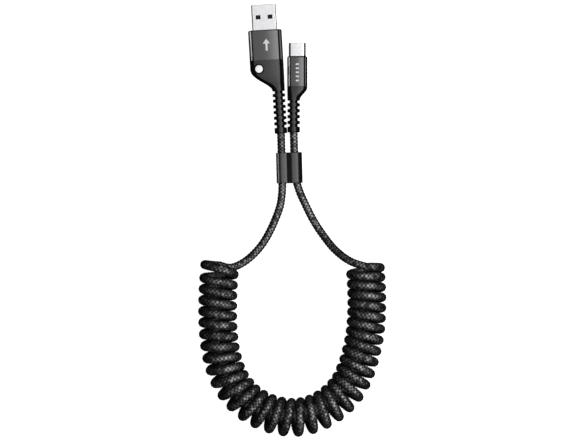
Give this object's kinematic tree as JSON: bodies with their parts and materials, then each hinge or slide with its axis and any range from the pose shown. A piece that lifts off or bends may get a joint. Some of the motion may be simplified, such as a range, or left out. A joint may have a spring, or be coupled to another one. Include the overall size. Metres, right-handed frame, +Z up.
{
  "type": "coiled usb-a to usb-c cable",
  "caption": "Coiled braided charging cable with a USB-A plug and a USB-C plug, both leads held side by side in a sliding clip, the spring laid in a U.",
  "frame": {"origin": "centre of the clip's flat back, on the surface that the cable lies on", "axes": "+Y from the clip towards the plugs, +X to the right with the front of the plugs up, +Z up from the surface"},
  "size_m": [0.0918, 0.2109, 0.0193],
  "materials": {
    "plated_shell": "bright nickel plate on drawn steel",
    "insulator": "moulded black insulator",
    "contact": "gold flash on contact springs",
    "alloy_sleeve": "dark grey satin anodised, with bright chamfer lines",
    "moulding": "matt black thermoplastic elastomer",
    "bezel": "gloss black ring",
    "lens": "opal white indicator lens",
    "clip": "glossy dark grey moulding",
    "braid": "black braided nylon jacket"
  },
  "bodies": {
    "cable": {"usb_a_shell": "plated_shell", "usb_a_tongue": "insulator", "usb_a_contact_1": "contact", "usb_a_contact_2": "contact", "usb_a_contact_3": "contact", "usb_a_contact_4": "contact", "usb_a_sleeve": "alloy_sleeve", "usb_a_boot": "moulding", "usb_a_eye_bezel": "bezel", "usb_a_eye_lens": "lens", "usb_c_shell": "plated_shell", "usb_c_insert": "insulator", "usb_c_sleeve": "alloy_sleeve", "usb_c_boot": "moulding", "cord_lead_a": "braid", "cord_coil": "braid", "cord_lead_c": "braid"},
    "clip": {"cable_clip": "clip"}
  },
  "joints": [
    {"name": "clip_slide", "type": "slide", "parent": "cable", "child": "clip", "axis": [-0.0262, 0.9997, 0], "range_m": [0, 0.009]}
  ]
}
